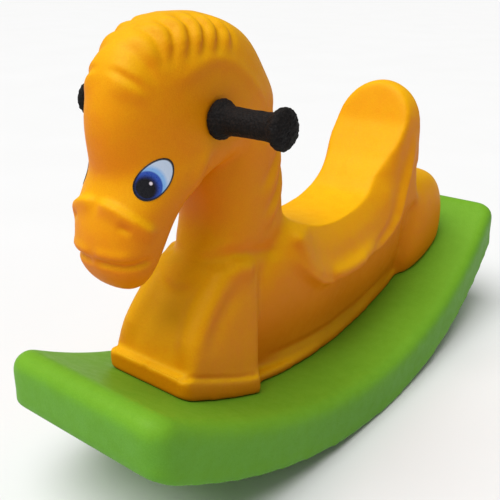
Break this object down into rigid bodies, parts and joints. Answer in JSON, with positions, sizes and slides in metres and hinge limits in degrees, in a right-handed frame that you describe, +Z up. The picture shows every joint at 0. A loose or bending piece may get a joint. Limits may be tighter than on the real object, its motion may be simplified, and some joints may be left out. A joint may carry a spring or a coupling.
{
  "type": "rocking horse",
  "caption": "Moulded-plastic toddler's rocking horse: amber horse body with seat and backrest on a green curved rocker, with black handle grips through the head.",
  "frame": {"origin": "on the floor under the middle of the rocker", "axes": "the horse faces -Y, its left side is +X, +Z is up"},
  "size_m": [0.282, 0.808, 0.5099],
  "materials": {
    "amber_plastic": "satin moulded polyethylene",
    "green_plastic": "satin moulded polyethylene",
    "eye_print": "printed vinyl",
    "tube_steel": "zinc-plated",
    "black_grip": "textured",
    "brass": "turned",
    "zinc_steel": "zinc-plated"
  },
  "bodies": {
    "rocking_horse": {"horse_body": "amber_plastic", "rocker_base": "green_plastic", "eye_left": "eye_print", "eye_right": "eye_print", "body_inserts": "brass", "base_bolts": "zinc_steel", "base_washers": "zinc_steel", "spring_washers": "zinc_steel", "recess_caps": "green_plastic"},
    "handle": {"handle_tube": "tube_steel", "grip_left": "black_grip", "grip_right": "black_grip"}
  },
  "joints": [
    {"name": "handle_turn", "type": "hinge", "parent": "rocking_horse", "child": "handle", "pos_m": [0, -0.2427, 0.4144], "axis": [1, 0, 0], "continuous": true}
  ]
}
